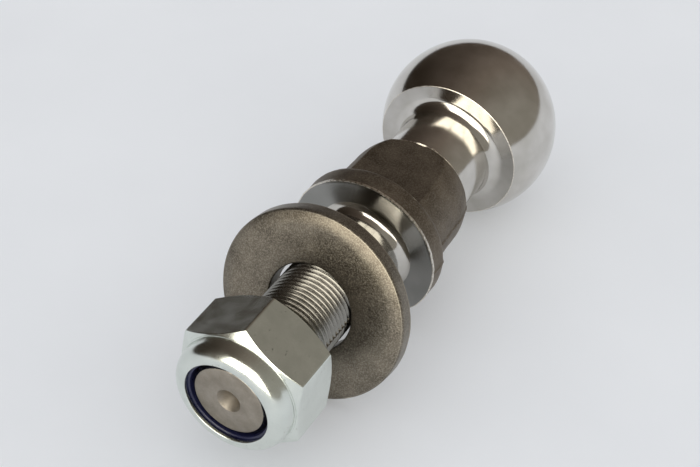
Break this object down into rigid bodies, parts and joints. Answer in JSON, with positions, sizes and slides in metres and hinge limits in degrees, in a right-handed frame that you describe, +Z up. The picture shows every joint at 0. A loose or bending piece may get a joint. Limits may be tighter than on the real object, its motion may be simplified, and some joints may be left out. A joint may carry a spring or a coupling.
{
  "type": "trailer hitch ball",
  "caption": "Threaded tow ball stud that bolts through a drawbar and carries a trailer coupler, with its loose washer and nylon-insert locknut.",
  "frame": {"origin": "centre of the bounding box in X and Y, on the surface that the part lies on", "axes": "+Y along the stud towards the ball, +Z up from the surface it lies on and square to the spanner flats"},
  "size_m": [0.0532, 0.1542, 0.0527],
  "materials": {
    "stud_steel": "polished where turned, forging scale on the body",
    "washer_steel": "brown phosphate",
    "nut_zinc": "bright zinc plate",
    "insert_nylon": "satin nylon"
  },
  "bodies": {
    "stud": {"ball_stud": "stud_steel"},
    "loose_washer": {"washer": "washer_steel"},
    "nut_carrier": {"nylon_insert": "insert_nylon"},
    "nut": {"nut_body": "nut_zinc"}
  },
  "joints": [
    {"name": "washer_slide", "type": "slide", "parent": "stud", "child": "loose_washer", "axis": [0, 1, 0], "range_m": [-0.003, 0.0158]},
    {"name": "nut_travel", "type": "slide", "parent": "stud", "child": "nut_carrier", "axis": [0, 1, 0], "range_m": [-0.0228, 0.008]},
    {"name": "nut_turn", "type": "hinge", "parent": "nut_carrier", "child": "nut", "pos_m": [0, -0.0661, 0.02641], "axis": [0, 1, 0], "range_deg": [-5400, 1800]}
  ],
  "couplings": [
    {"joint": "nut_travel", "follows": "nut_turn", "m_per_rad": 0.00023873}
  ]
}
